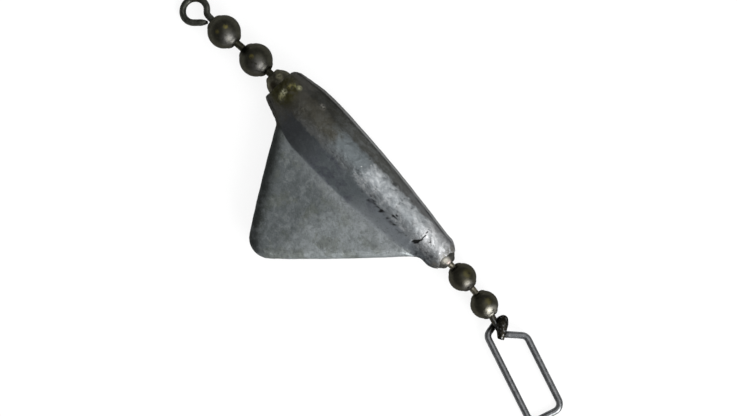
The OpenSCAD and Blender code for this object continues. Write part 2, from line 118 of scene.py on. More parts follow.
def add_node(tree, kind, inputs, **settings):
    """Adds a node. Each of its inputs is a value, or the socket of a node that feeds it."""
    node = tree.nodes.new(kind)
    for key, value in settings.items():
        setattr(node, key, value)
    for key, value in inputs.items():
        if isinstance(value, bpy.types.NodeSocket):
            tree.links.new(value, node.inputs[key])
        else:
            node.inputs[key].default_value = value
    return node

class Bench:
    """One material, and short calls that add nodes to it."""

    def __init__(self, name, color, metallic, roughness, edge=DULL_EDGE):
        self.material = bpy.data.materials.new(name)
        self.material.use_nodes = True
        self.material.diffuse_color = (*color, 1)
        self.tree = self.material.node_tree
        self.shader = self.tree.nodes["Principled BSDF"]
        self.shader.inputs["Base Color"].default_value = (*color, 1)
        self.shader.inputs["Metallic"].default_value = metallic
        self.shader.inputs["Roughness"].default_value = roughness
        self.shader.inputs["Specular Tint"].default_value = grey(edge)
        coordinates = self.add("ShaderNodeTexCoord", {})
        place = self.add("ShaderNodeMapping", {"Vector": coordinates.outputs["Object"],
            "Location": -FRONT / MM, "Scale": (1 / MM, 1 / MM, 1 / MM)})
        self.mm = place.outputs["Vector"]
        self.along, self.across = self.add("ShaderNodeSeparateXYZ", {0: self.mm}).outputs[:2]

    def add(self, kind, inputs, **settings):
        return add_node(self.tree, kind, inputs, **settings)

    def noise(self, scale, detail=4, rough=0.55, stretch=None, shift=0.0, warp=0.0):
        at = self.mm
        if stretch or shift:
            moved = self.add("ShaderNodeMapping", {"Vector": at, "Scale": stretch or (1, 1, 1),
                "Location": (shift, shift, shift)})
            at = moved.outputs["Vector"]
        node = self.add("ShaderNodeTexNoise", {"Vector": at, "Scale": scale, "Detail": detail,
            "Roughness": rough, "Distortion": warp})
        return node.outputs["Fac"]

    def step(self, value, low, high, to_low=0.0, to_high=1.0):
        """A soft step: to_low below low, to_high above high."""
        node = self.add("ShaderNodeMapRange", {"Value": value, "From Min": low, "From Max": high,
            "To Min": to_low, "To Max": to_high}, interpolation_type="SMOOTHSTEP")
        return node.outputs["Result"]

    def math(self, operation, a, b=0.0):
        return self.add("ShaderNodeMath", {0: a, 1: b}, operation=operation).outputs[0]

    def both(self, a, b):
        return self.math("MULTIPLY", a, b)

    def mix(self, amount, below, above):
        below, above = [(*c, 1) if isinstance(c, tuple) else c for c in (below, above)]
        node = self.add("ShaderNodeMix", {"Factor": amount, 6: below, 7: above}, data_type="RGBA")
        return node.outputs[2]

    def spot(self, place, size, fading):
        """1 near a place in mm and 0 beyond the size, of which a share is fading."""
        near = self.add("ShaderNodeVectorMath", {0: self.mm, 1: place},
            operation="DISTANCE").outputs["Value"]
        return self.step(near, size * (1 - fading), size, 1.0, 0.0)

    def color(self, socket):
        self.tree.links.new(socket, self.shader.inputs["Base Color"])

    def roughness(self, socket):
        self.tree.links.new(socket, self.shader.inputs["Roughness"])

    def bump(self, height, distance, strength):
        node = self.add("ShaderNodeBump", {"Height": height, "Distance": distance * MM,
            "Strength": strength})
        self.tree.links.new(node.outputs["Normal"], self.shader.inputs["Normal"])

# %% [markdown]
# ## From a bmesh to a piece
# A finished piece keeps its place in its mesh, with its object at the origin, and rides on the CAD
# body that moves it.

# %% Helper that turns a bmesh into a riding piece
def piece(name, bm, body, nodes, material):
    bmesh.ops.recalc_face_normals(bm, faces=bm.faces)
    mesh = bpy.data.meshes.new(name)
    bm.to_mesh(mesh)
    bm.free()
    mesh.shade_smooth()
    mesh.materials.append(material)
    made = bpy.data.objects.new(name, mesh)
    bpy.context.scene.collection.objects.link(made)
    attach(made, body)
    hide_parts(*nodes)
    print("%s: %d faces" % (name, len(mesh.polygons)))

def pointed(at, direction, turn=0.0):
    """Places a piece made along its own X axis so that it starts at a point and runs a way."""
    spin = direction.to_track_quat("X", "Z").to_matrix().to_4x4()
    return Matrix.Translation(at) @ spin @ Matrix.Rotation(turn, 4, "X")

# %% [markdown]
# ## The casting
# The torpedo, the keel and the thin rim round both are one pour of lead. The CAD solid has its true
# form in flat facets. A copy of it is merged, its triangles are joined to quads and the long quads
# of the keel are cut across, so that a Subdivision Surface makes even small faces that can take
# pits and dents as real geometry. The crease beside the keel and the foot of the rim stay sharp.

# %% Helpers that make a copy of the casting fine
SAME_PLACE, ON_PLANE = 0.002, 0.02
JOIN_ANGLE = math.radians(60)
HOLLOW_ANGLE = math.radians(-12)
CREASE = 0.9

def copy_of(node):
    bm = bmesh.new()
    bm.from_mesh(frame["nodes"][node].data)
    bmesh.ops.remove_doubles(bm, verts=bm.verts, dist=SAME_PLACE * MM)
    bmesh.ops.join_triangles(bm, faces=bm.faces, angle_face_threshold=JOIN_ANGLE,
        angle_shape_threshold=JOIN_ANGLE, cmp_seam=False)
    return bm

def sliced(bm, place, way, chosen):
    """Cuts the chosen faces with a plane through a place in mm from the front bead."""
    faces = [f for f in bm.faces if chosen((f.calc_center_median() - FRONT) / MM)]
    geom = list(dict.fromkeys(g for f in faces for g in (*f.verts, *f.edges, f)))
    bmesh.ops.bisect_plane(bm, geom=geom, dist=ON_PLANE * MM, plane_no=way,
        plane_co=FRONT + Vector(place) * MM)

def sharpened(bm):
    """Marks the hollow edges, which a Subdivision Surface then keeps."""
    bm.normal_update()
    layer = bm.edges.layers.float.new("crease_edge")
    for edge in bm.edges:
        if edge.is_manifold and edge.calc_face_angle_signed() < HOLLOW_ANGLE:
            edge[layer] = CREASE

def subdivided(bm, levels):
    """The same mesh after a Subdivision Surface modifier."""
    mesh = bpy.data.meshes.new("rough")
    bm.to_mesh(mesh)
    bm.free()
    rough = bpy.data.objects.new("rough", mesh)
    bpy.context.scene.collection.objects.link(rough)
    smooth = rough.modifiers.new("smooth", "SUBSURF")
    smooth.levels = smooth.render_levels = levels
    fine = bmesh.new()
    fine.from_object(rough, bpy.context.evaluated_depsgraph_get())
    bpy.data.objects.remove(rough)
    bpy.data.meshes.remove(mesh)
    return fine

# %% Copy the casting, cut its long faces and subdivide it
KEEL_CUTS, KEEL_CUT_FROM, KEEL_CUT_PITCH = 17, -5.6, 0.8
RIM_CUTS = (-0.7, -0.45, 0.45, 0.7)

casting = copy_of("keel_lead")
for i in range(KEEL_CUTS):
    sliced(casting, (0, KEEL_CUT_FROM - i * KEEL_CUT_PITCH, 0), (0, 1, 0), lambda at: at.y < -4)
for height in RIM_CUTS:
    sliced(casting, (0, 0, height), (0, 0, 1), lambda at: at.y > 1)
sharpened(casting)
casting = subdivided(casting, levels=2)
print("casting:", len(casting.faces), "faces")

# %% [markdown]
# The sinker has been dragged over stones. Its marks are worked into the mesh: a crack with a gap at
# its foot, gouges, pits, and the crazed skin of the rear half, where the lead froze in wrinkles.
# Each vertex also keeps how dark it is, from dirt and from painted shade in the hollows of the
# marks, and whether it is on the keel's plate or on the rim, for the finish to read.

# %% Where the marks are
# Places are (s, t) in mm: s runs along the casting from the front bead, t towards the keel. The
# third number is a mark's half width.
CRACK = ((28.95, 1.7, 0.14), (29.2, 1.45, 0.36), (29.42, 1.15, 0.34), (29.64, 0.65, 0.13),
    (29.55, -0.24, 0.08), (29.3, -1.14, 0.06))
BRANCH = ((30.2, -0.57, 0.1), (30.8, -0.1, 0.16), (31.33, 0.29, 0.1))
GOUGES = ((21.2, 1.8, 0.3), (21.6, 1.55, 0.2), (22.9, 1.95, 0.34), (24.75, 0.85, 0.3),
    (24.5, 1.25, 0.3), (27.0, 0.2, 0.13), (27.4, -0.3, 0.1), (18.7, 0.2, 0.1),
    (30.6, 0.1, 0.09), (31.2, -0.4, 0.08))
CHIPS = ((17.2, -1.45, 0.17), (17.65, 0.86, 0.15), (16.3, -0.4, 0.1))

def eased(value, low, high):
    share = min(1, max(0, (value - low) / (high - low)))
    return share * share * (3 - 2 * share)

def near_line(s, t, line):
    """How deep a place lies in a line of (s, t, half width) points: 1 on it, 0 outside."""
    best = 0
    for (s0, t0, w0), (s1, t1, w1) in zip(line, line[1:]):
        ds, dt = s1 - s0, t1 - t0
        along = min(1, max(0, ((s - s0) * ds + (t - t0) * dt) / (ds * ds + dt * dt)))
        away = math.hypot(s - s0 - along * ds, t - t0 - along * dt)
        best = max(best, 1 - away / (w0 + (w1 - w0) * along))
    return best

def near_spots(s, t, spots):
    return max(0, max(1 - math.hypot(s - a, t - b) / size for a, b, size in spots))

def crazing(at, size):
    """1 on the borders of warped cells, 0 inside them."""
    warped = at / size + 0.6 * noise.noise_vector(at * 0.9)
    distances = noise.voronoi(warped)[0]
    return 1 - eased(distances[1] - distances[0], 0.02, 0.2)

print("marks:", len(CRACK) + len(BRANCH), "points of cracks,", len(GOUGES), "gouges,",
    len(CHIPS), "chips")

# %% How deep the lead is at a place, and how dark its dirt and painted shade are
# Heights and depths are in mm. Dirt and painted shade of 1 is black, less than 0 is bare metal.
# The black in the marks is partly dirt and partly painted shade in their hollows.
RELIEF = {"swell": 0.035, "skin": 0.018, "film": 0.07, "lumps": 0.065}
DEPTH = {"pit": 0.04, "crazing": 0.06, "fold": 0.05, "gouge": 0.06, "chip": 0.05, "foot": 0.045}
# how black each mark is painted: partly dirt, partly painted shade in its hollow; chips are bare
DIRT_AND_SHADE = {"pit": 0.4, "crazing": 0.5, "fold": 0.6, "crack": 2.4, "gouge": 1.4, "chip": -1.2,
    "foot": 0.25}
CRACK_END, CRACK_DEEPER = 0.015, 0.085
BRANCH_SHARE = 0.3
RIM_Z = 0.31
FOOT_STARTS, FOOT_ENDS = (RIM_Z, 0.42), (0.62, 0.8)

def marks(at):
    """How far the lead's skin stands out at a place, and how dark it is there from dirt and painted
    shade.
    """
    s, t, z = at.x, -at.y, at.z
    ragged = Vector((s, t, 0)) + 0.25 * noise.noise_vector(at * 2.1)
    height = (RELIEF["swell"] * noise.noise(at * 0.45)
        + RELIEF["skin"] * noise.fractal(at * 1.7, 0.7, 2.1, 4))
    pits = eased(noise.fractal(at * 1.9 + Vector((7, 3, 1)), 0.8, 2.2, 4), 0.55, 0.95)
    rear = eased(s + 2 * noise.noise(at * 0.5), 16.5, 19.5)
    on_crest = 1 - eased(abs(t), 2.0, 2.9)
    crazed = crazing(at, 1.25) * rear * on_crest * eased(noise.noise(at * 0.7), -0.25, 0.25)
    crazed *= 1 - 0.7 * eased(s, 27, 29)
    fold = 1 - min(1, abs(ragged.y - 1.95 - 0.5 * noise.noise(Vector((s * 0.7, 0, 4)))) / 0.16)
    fold *= eased(s, 18.5, 20) * (1 - eased(s, 27.5, 29)) * eased(noise.noise(at * 1.3), -0.1, 0.2)
    height -= DEPTH["pit"] * pits + DEPTH["crazing"] * crazed + DEPTH["fold"] * max(0, fold)
    dirt_and_shade = DIRT_AND_SHADE["pit"] * pits + DIRT_AND_SHADE["crazing"] * crazed + DIRT_AND_SHADE["fold"] * max(0, fold)
    if z > 0:
        crack = max(near_line(s, t, CRACK), BRANCH_SHARE * near_line(s, t, BRANCH))
        crack_depth = CRACK_END + CRACK_DEEPER * eased(t, 0.3, 1.0)
        gouge = near_spots(ragged.x, ragged.y, GOUGES)
        chip = near_spots(ragged.x, ragged.y, CHIPS)
        height -= crack_depth * crack + DEPTH["gouge"] * gouge + DEPTH["chip"] * chip
        dirt_and_shade += DIRT_AND_SHADE["crack"] * crack + DIRT_AND_SHADE["gouge"] * gouge + DIRT_AND_SHADE["chip"] * chip
    # the rim's foot: a groove painted dark, partly dirt and partly painted shade
    foot = eased(abs(z), *FOOT_STARTS) * (1 - eased(abs(z), *FOOT_ENDS)) * (t < -1)
    height -= DEPTH["foot"] * foot
    dirt_and_shade += (DIRT_AND_SHADE["foot"] + 0.5 * noise.noise(Vector((s * 0.8, 3, z)))) * foot
    film = 1 - eased(s + noise.noise(at * 0.8), 2.2, 4.5)
    height += film * RELIEF["film"] * noise.fractal(at * 1.2 + Vector((2, 9, 4)), 0.8, 2.0, 3)
    lumps = eased(s, 3, 5) * (1 - eased(abs(t), 2.0, 3.0))
    folds = noise.noise_vector(at * 0.8) * 0.8 + at * 0.9
    height += lumps * RELIEF["lumps"] * noise.fractal(folds + Vector((5, 2, 8)), 0.7, 2.2, 4)
    return height, min(1, max(-1, dirt_and_shade))

# %% Work the marks into the casting
# In mm from the front bead. The keel lies at y below 0, and the rim of the back at y above 0.
PLATE_Z, PLATE_Y = 1.16, -3.0
BACK_RIM_Y, NOSE_RIM_Y, NOSE_RIM_X = 1.0, -2.2, 4.0

def roughen(bm):
    """Moves every vertex along its normal and keeps the dirt and painted shade, the plate and the
    rim.
    """
    bm.normal_update()
    layers = [bm.verts.layers.float.new(name) for name in ("dirt_and_shade", "plate", "rim")]
    ways = [v.normal.copy() for v in bm.verts]
    for vert, way in zip(bm.verts, ways):
        at = (vert.co - FRONT) / MM
        height, vert[layers[0]] = marks(at)
        at_edge = at.y > BACK_RIM_Y or at.y < NOSE_RIM_Y and at.x < NOSE_RIM_X
        vert[layers[1]] = float(abs(at.z) < PLATE_Z and at.y < PLATE_Y)
        vert[layers[2]] = float(abs(at.z) < RIM_Z and at_edge)
        vert.co += way * height * MM
    for layer in layers:
        print("%s: %d points" % (layer.name, sum(v[layer] > 0.5 for v in bm.verts)))

roughen(casting)

# %% [markdown]
# At its tail the lead has run a little way up the cast-in bead, further at the two sides, where the
# halves of the mould met. Those last points of the lip are drawn over the ball by turning each
# about the ball's centre, so they stay on it.

# %% Draw the tail's lip over the bead
# Angles at the ball's centre from the chain's axis. The reach and the two after it are in degrees.
LIP_FROM, LIP_END = math.radians(90), math.radians(78)
LIP_REACH, LIP_FURTHER, LIP_WAVE = 70, 18, 5
LIP_R, CHAIN_R = 2.1, 0.5

def lip_reach(around):
    """The angle from the chain's axis where the lip ends, by the place around the bead."""
    at_side = abs(math.cos(around)) ** 2
    wave = LIP_WAVE * noise.noise(Vector((math.cos(around) * 2.5, math.sin(around) * 2.5, 6)))
    return math.radians(LIP_REACH - LIP_FURTHER * at_side + wave)

def drawn_over(bm, centre):
    count = 0
    for vert in bm.verts:
        at = (vert.co - centre) / MM
        out = math.hypot(at.y, at.z)
        if at.x <= 0 or out < CHAIN_R:
            continue
        away = math.atan2(out, at.x)
        around = math.atan2(at.z, at.y)
        share = (LIP_FROM - away) / (LIP_FROM - LIP_END)
        turned_to = LIP_FROM - share * (LIP_FROM - lip_reach(around))
        r = at.length + (min(at.length, LIP_R) - at.length) * min(1, max(0, share))
        side = Vector((0, at.y, at.z)) / out
        way = Vector((math.cos(turned_to), 0, 0)) + side * math.sin(turned_to)
        vert.co = centre + way * r * MM
        count += 1
    print("lip: %d points drawn over the bead" % count)

drawn_over(casting, REAR)

# %% [markdown]
# ## The lead's finish
# Old cast lead is dull blue-grey. Here an olive film covers the front, the middle is blue-grey, the
# rear crest is rubbed bright and carries a painted highlight at the tail, the flank beside the keel
# is dark, partly a dark skin and partly painted shade, and painted shade darkens the keel's leading
# edge. Those zones are steps along and across the casting with wavering borders, and fine mottling
# breaks up each of them.

# %% Start the lead's material with its noises and zones
lead = Bench("cast lead", (0.17, 0.18, 0.185), 0.75, 0.5)
mottle = lead.noise(0.9, 8, 0.65)
fine = lead.noise(3.5, 8, 0.7)
grain = lead.noise(1.9, 10, 0.75, shift=4.0)
swirl = lead.noise(0.8, 8, 0.66, shift=7.0, warp=0.6)
grit = lead.noise(9.0, 4, 0.7)
keelwards = lead.both(lead.across, -1.0)

def wavering(value, *waves):
    """A place along or across that wavers by some noises of (scale, reach in mm)."""
    for i, (scale, reach) in enumerate(waves):
        wave = lead.math("SUBTRACT", lead.noise(scale, 4, 0.6, shift=3.0 + 5 * i), 0.5)
        value = lead.math("ADD", value, lead.both(wave, reach))
    return value

def painted(zone):
    print("%s: the lead has %d nodes now" % (zone, len(lead.tree.nodes)))

s_zone = wavering(lead.along, (0.45, 6.0), (1.7, 3.0))
t_zone = wavering(keelwards, (0.8, 1.0), (2.2, 0.8))
painted("noises and zones")

# %% [markdown]
# The crest goes from an olive skin through blue-grey to rubbed metal, and a painted highlight makes
# it brightest at the tail. Dull patches and small painted glints break up the rubbed part, and
# painted shade greys it towards the keel's side.

# %% Paint the crest
OLIVE_SKIN, BROWN_SKIN = (0.07, 0.068, 0.056), (0.04, 0.036, 0.026)
BLUE_GREY, DULL_GREY, SIDE_GREY = (0.158, 0.18, 0.188), (0.17, 0.185, 0.195), (0.19, 0.2, 0.203)
WORN_LEAD, TAIL_LEAD_HIGHLIGHT, PAINTED_GLINT = (0.42, 0.445, 0.46), (0.74, 0.75, 0.76), (0.8, 0.81, 0.82)

crest = lead.mix(lead.step(s_zone, 9.5, 12.5), OLIVE_SKIN, BLUE_GREY)
crest = lead.mix(lead.step(s_zone, 16.6, 17.8), crest, WORN_LEAD)
# painted highlight: the crest is painted brightest at the tail
crest = lead.mix(lead.step(lead.along, 27.5, 30.0), crest, TAIL_LEAD_HIGHLIGHT)
# painted shade: the rubbed crest is greyed towards the keel's side
keel_side_shade = lead.both(lead.step(t_zone, -0.6, 0.8, 0.0, 0.62), lead.step(s_zone, 16.5, 18.5))
crest = lead.mix(keel_side_shade, crest, DULL_GREY)
patches = lead.both(lead.step(swirl, 0.5, 0.53), lead.step(s_zone, 14.0, 18.0))
crest = lead.mix(lead.both(patches, 0.36), crest, DULL_GREY)
# painted glints: small bright spots painted on the rubbed part
painted_glints = lead.both(lead.step(swirl, 0.43, 0.46, 1.0, 0.0), lead.step(s_zone, 15.0, 18.0))
crest = lead.mix(lead.both(painted_glints, 0.25), crest, PAINTED_GLINT)
near_flank = lead.both(lead.step(t_zone, 0.0, 1.4, 0.0, 0.6),
    lead.step(s_zone, 15.0, 17.0, 1.0, 0.0))
crest = lead.mix(lead.both(near_flank, lead.step(s_zone, 3.0, 9.0)), crest, SIDE_GREY)
skin = lead.both(lead.step(swirl, 0.47, 0.5), lead.step(s_zone, 1.0, 12.0, 0.45, 0.0))
crest = lead.mix(skin, crest, BROWN_SKIN)
painted("crest")

# %% [markdown]
# The flank beside the keel is dark with a bluish bloom, partly a dark skin and partly painted
# shade, and pales towards the tail and the crease. The back, beyond the crest, is nearly black in
# front, also partly painted shade. The tail's keel side is painted darker, as shade.

# %% Paint the flank and the back, and join them to the crest
DARK_FLANK_AND_SHADE, GREY_FLANK = (0.056, 0.06, 0.064), (0.145, 0.165, 0.175)
PALE_FLANK, PALE_CREASE = (0.22, 0.24, 0.26), (0.36, 0.385, 0.4)
DARK_BACK_AND_SHADE, GREY_BACK = (0.038, 0.038, 0.032), (0.085, 0.087, 0.08)
PALE_BACK, BLOOM = (0.135, 0.137, 0.137), (0.1, 0.105, 0.128)
TAIL_BACK, TAIL_SIDE_SHADE = (0.2, 0.2, 0.205), (0.032, 0.034, 0.037)

# painted shade, in part: the flank is painted darkest at the front
flank = lead.mix(lead.step(lead.along, 6.0, 14.0), DARK_FLANK_AND_SHADE, GREY_FLANK)
bloom = lead.both(lead.step(lead.noise(0.3, 4, 0.6, shift=1.0, warp=0.8), 0.46, 0.56),
    lead.step(lead.along, 9.0, 12.0, 0.0, 0.7))
flank = lead.mix(bloom, flank, BLOOM)
flank = lead.mix(lead.step(lead.along, 17.0, 26.0), flank, PALE_FLANK)
near_crease = lead.both(lead.step(wavering(keelwards, (1.0, 0.6)), 2.4, 4.4),
    lead.step(lead.along, 17.0, 22.0, 0.0, 0.6))
flank = lead.mix(near_crease, flank, PALE_CREASE)
# painted shade, in part: the back is painted nearly black at the front
back = lead.mix(lead.step(lead.along, 7.0, 14.0), DARK_BACK_AND_SHADE, GREY_BACK)
back = lead.mix(lead.step(lead.along, 18.0, 28.0), back, PALE_BACK)
body_paint = lead.mix(lead.step(t_zone, 1.55, 1.95), crest, flank)
body_paint = lead.mix(lead.step(t_zone, -2.25, -1.7), back, body_paint)
tail_back = lead.both(lead.step(lead.along, 28.0, 30.0, 0.0, 0.7),
    lead.step(t_zone, -1.9, -1.2, 1.0, 0.0))
body_paint = lead.mix(tail_back, body_paint, TAIL_BACK)
# painted shade: the tail is painted darker on its keel side
tail_side_shade = lead.both(lead.step(lead.along, 28.4, 30.8), lead.step(t_zone, 0.7, 1.5))
tail_side_shade = lead.both(tail_side_shade, lead.step(grain, 0.4, 0.6, 1.0, 0.6))
body_paint = lead.mix(tail_side_shade, body_paint, TAIL_SIDE_SHADE)
painted("flank and back")

# %% [markdown]
# The keel's plate is dull blue-grey with olive clouds, paler towards the tail and beside the
# torpedo. A band of painted shade follows its leading edge, so it is a step of the distance from
# that edge.

# %% Paint the keel's plate
PLATE_FRONT, PLATE_REAR = (0.118, 0.131, 0.134), (0.26, 0.283, 0.287)
OLIVE_CLOUD, BODY_SIDE = (0.13, 0.142, 0.122), (0.3, 0.32, 0.33)
DARK_SWIRL, PALE_SWIRL = (0.08, 0.092, 0.09), (0.32, 0.345, 0.345)
DARK_GRAIN, LEADING_EDGE_SHADE = (0.075, 0.084, 0.084), (0.034, 0.038, 0.036)
EDGE_AT, EDGE_ACROSS = (3.5, 3.9), (0.834, 0.552)    # a place on that edge, and the way across it

plate = lead.mix(lead.step(s_zone, 15.0, 20.0), PLATE_FRONT, PLATE_REAR)
clouds = lead.step(lead.noise(0.45, 5, 0.6, shift=5.0), 0.5, 0.6, 0.0, 0.6)
plate = lead.mix(clouds, plate, OLIVE_CLOUD)
near_body = lead.both(lead.step(keelwards, 5.0, 7.0, 1.0, 0.0),
    lead.step(lead.along, 6.0, 20.0, 0.2, 0.65))
plate = lead.mix(near_body, plate, BODY_SIDE)
plate = lead.mix(lead.both(lead.step(swirl, 0.5, 0.56), 0.26), plate, DARK_SWIRL)
plate = lead.mix(lead.both(lead.step(swirl, 0.42, 0.46, 1.0, 0.0), 0.2), plate, PALE_SWIRL)
plate = lead.mix(lead.both(lead.step(grain, 0.5, 0.56), 0.3), plate, DARK_GRAIN)
from_edge = lead.math("SUBTRACT",
    lead.both(lead.math("SUBTRACT", lead.along, EDGE_AT[0]), EDGE_ACROSS[0]),
    lead.both(lead.math("SUBTRACT", keelwards, EDGE_AT[1]), EDGE_ACROSS[1]))
# painted shade: a dark band along the keel's rounded leading edge
edge_shade = lead.step(wavering(from_edge, (1.0, 0.9)), 0.5, 2.4, 0.9, 0.0)
plate = lead.mix(edge_shade, plate, LEADING_EDGE_SHADE)
painted("plate")

# %% [markdown]
# Each vertex kept whether it is on the plate or the rim, and how dark its dirt and painted shade
# are, so an Attribute node joins the zones. Over all of them go the mottling, the olive film at the
# front with its stain, the rim painted paler as a highlight along the edge, and the black that lies
# in the marks, partly dirt and partly painted shade.

# %% Join the zones and add mottling, film, the rim's painted highlight, dirt and painted shade
MOTTLED, PORES, GRIT = (0.24, 0.26, 0.27), (0.05, 0.053, 0.055), (0.45, 0.47, 0.48)
BACK_FILM, OLIVE_FILM = (0.078, 0.076, 0.067), (0.057, 0.055, 0.047)
STAIN, SOOT, LIP_SKIN = (0.043, 0.04, 0.013), (0.02, 0.019, 0.014), (0.11, 0.1, 0.08)
RIM_HIGHLIGHT_FRONT, RIM_HIGHLIGHT_REAR = (0.13, 0.13, 0.125), (0.24, 0.243, 0.243)
BLACK_DIRT_AND_SHADE, BARE_LEAD = (0.018, 0.018, 0.018), (0.75, 0.76, 0.76)
CREST_Z = 2.5

def kept(name):
    """What roughen() kept on each vertex."""
    return lead.add("ShaderNodeAttribute", {}, attribute_name=name).outputs["Fac"]

color = lead.mix(kept("plate"), body_paint, plate)
mottled = lead.both(lead.step(mottle, 0.45, 0.62), lead.step(lead.along, 6.0, 14.0, 0.05, 0.25))
color = lead.mix(mottled, color, MOTTLED)
color = lead.mix(lead.step(fine, 0.32, 0.46, 0.5, 0.0), color, PORES)
color = lead.mix(lead.step(grit, 0.62, 0.72, 0.0, 0.25), color, GRIT)
film = lead.both(lead.step(s_zone, 2.5, 5.5, 0.85, 0.0), lead.step(fine, 0.35, 0.5, 0.6, 1.0))
film_paint = lead.mix(lead.step(t_zone, -1.6, -0.6), BACK_FILM, OLIVE_FILM)
color = lead.mix(film, color, film_paint)
stain = lead.both(lead.spot((0.9, -0.3, CREST_Z), 3.2, 0.6), lead.step(grain, 0.4, 0.55, 0.35, 1.0))
color = lead.mix(stain, color, STAIN)
soot = lead.both(lead.step(lead.along, 0.5, 3.5, 0.5, 0.0), lead.step(grain, 0.5, 0.6))
color = lead.mix(soot, color, SOOT)
lip = lead.both(lead.step(lead.along, 32.6, 33.6), lead.step(grain, 0.44, 0.54))
color = lead.mix(lead.both(lip, 0.8), color, LIP_SKIN)
# painted highlight: the rim is painted paler along the casting's edge
rim_highlight = lead.mix(lead.step(lead.along, 3.0, 16.0), RIM_HIGHLIGHT_FRONT, RIM_HIGHLIGHT_REAR)
color = lead.mix(lead.both(kept("rim"), 0.8), color, rim_highlight)
# black of the marks: partly dirt and partly painted shade in their hollows
color = lead.mix(lead.step(kept("dirt_and_shade"), 0.05, 0.9), color, BLACK_DIRT_AND_SHADE)
color = lead.mix(lead.step(kept("dirt_and_shade"), -0.8, -0.1, 1.0, 0.0), color, BARE_LEAD)
painted("film and dirt")

# %% [markdown]
# Last come the pale and yellowish specks on the nose, partly pale chips and partly painted glints.
# Each is a spot at a place on the crest, broken up by the fine noise. A bump gives the grain that
# is too small for the mesh.

# %% Add the specks and painted glints and finish the casting
GLINTS_AND_SPECKS = ((1.3, -0.45, 0.75, (0.62, 0.62, 0.42)), (1.55, -1.05, 0.8, (0.3, 0.29, 0.16)),
    (1.35, 0.75, 0.7, (0.22, 0.2, 0.08)), (2.35, 1.45, 0.6, (0.5, 0.5, 0.3)),
    (1.7, 1.35, 0.5, (0.2, 0.2, 0.08)), (6.5, 1.9, 0.8, (0.28, 0.27, 0.24)),
    (5.6, 1.5, 0.5, (0.2, 0.2, 0.17)), (4.6, 1.1, 0.5, (0.16, 0.16, 0.13)))

# painted glints: part of these spots are bright reflections painted on the nose
for x, y, size, shade in GLINTS_AND_SPECKS:
    glint_speck = lead.both(lead.spot((x, y, CREST_Z), size, 0.8), lead.step(fine, 0.42, 0.56))
    color = lead.mix(glint_speck, color, shade)
lead.color(color)
lead.roughness(lead.step(fine, 0.3, 0.7, 0.38, 0.58))
lead.bump(lead.noise(2.6, 9, 0.72), 0.09, 0.6)
piece("lead_casting", casting, "casting", ["keel_lead"], lead.material)

# %% [markdown]
# ## Dark plated metal for the chain
# The beads, links and eye are brass under a worn dark plating, so they shine like metal but stay
# dark, with a little olive where the brass shows through.

# %% Helper that makes a worn plating
def plated(name, dark, worn, roughness, spots=(), edge=DULL_EDGE):
    """A dark plating, worn in clouds, with spots of (x, y, z, size, colour) on it."""
    bench = Bench(name, dark, 1.0, roughness, edge)
    tone = bench.mix(bench.step(bench.noise(1.4, 6, 0.65), 0.42, 0.68), dark, worn)
    rubbed = bench.noise(1.2, 4, 0.7, stretch=(4.0, 4.0, 0.8), shift=2.0)
    tone = bench.mix(bench.step(rubbed, 0.55, 0.7, 0.0, 0.4), tone, tuple(2 * c for c in worn))
    for x, y, z, size, shade in spots:
        mark = bench.both(bench.spot((x, y, z), size, 0.7),
            bench.step(bench.noise(3.0, 5), 0.3, 0.5))
        tone = bench.mix(mark, tone, shade)
    bench.color(tone)
    bench.roughness(bench.step(bench.noise(3.0, 6, 0.7), 0.3, 0.7,
        roughness - 0.06, roughness + 0.1))
    bench.bump(bench.noise(3.5, 4, 0.6), 0.015, 0.4)
    print("%s: %d nodes" % (name, len(bench.tree.nodes)))
    return bench.material

# %% Make the beads' platings, with painted highlights
BEAD_EDGE = 0.5
OLIVE_BRASS_AND_GLINT, BRASS = (0.16, 0.14, 0.05), (0.085, 0.077, 0.035)
CREAM_HIGHLIGHT, RUBBED_HIGHLIGHT = (0.24, 0.232, 0.2), (0.09, 0.088, 0.082)

# painted highlights: the rubbed spots brighten each bead's highlight, and the olive spots are
# partly brass and partly painted reflections
front_bead_metal = plated("front bead plating", (0.042, 0.041, 0.031), (0.056, 0.054, 0.041), 0.38,
    ((-9.6, -0.95, 0.8, 1.7, RUBBED_HIGHLIGHT), (-4.0, -0.5, 0.8, 1.7, RUBBED_HIGHLIGHT),
    (-11.2, -0.1, 1.15, 0.5, OLIVE_BRASS_AND_GLINT), (-11.4, -1.4, 0.85, 0.5, OLIVE_BRASS_AND_GLINT),
    (-5.6, -0.35, 1.15, 0.5, OLIVE_BRASS_AND_GLINT)), BEAD_EDGE)
# painted highlights: the pale and cream patches near the outer holes, partly wear
rear_bead_metal = plated("rear bead plating", (0.044, 0.042, 0.032), (0.056, 0.053, 0.038), 0.38,
    ((37.5, 0.9, 0.8, 0.9, BRASS), (42.5, 0.45, 0.4, 0.8, BRASS),
    (39.0, -0.2, 0.4, 1.2, (0.13, 0.125, 0.11)), (43.9, -0.3, -0.1, 1.4, CREAM_HIGHLIGHT)), BEAD_EDGE)
front_anchor_metal = plated("stained bead plating", (0.06, 0.057, 0.042), (0.12, 0.115, 0.085),
    0.45, ((-0.9, 0.6, 1.7, 0.7, (0.25, 0.24, 0.16)), (-0.5, -0.9, 1.6, 0.8, (0.035, 0.03, 0.02))),
    BEAD_EDGE)
# painted highlight: the pale spots on the tail bead's end, partly rubbed brass
rear_anchor_metal = plated("rubbed bead brass with painted highlights", (0.05, 0.05, 0.045), (0.09, 0.088, 0.08), 0.5,
    ((34.2, -0.1, 1.5, 0.85, (0.22, 0.21, 0.185)), (34.55, 0.1, 1.2, 0.5, (0.36, 0.31, 0.28))),
    BEAD_EDGE)

# %% Make the wires' platings
SNAP_SHADE = (0.02, 0.018, 0.013)

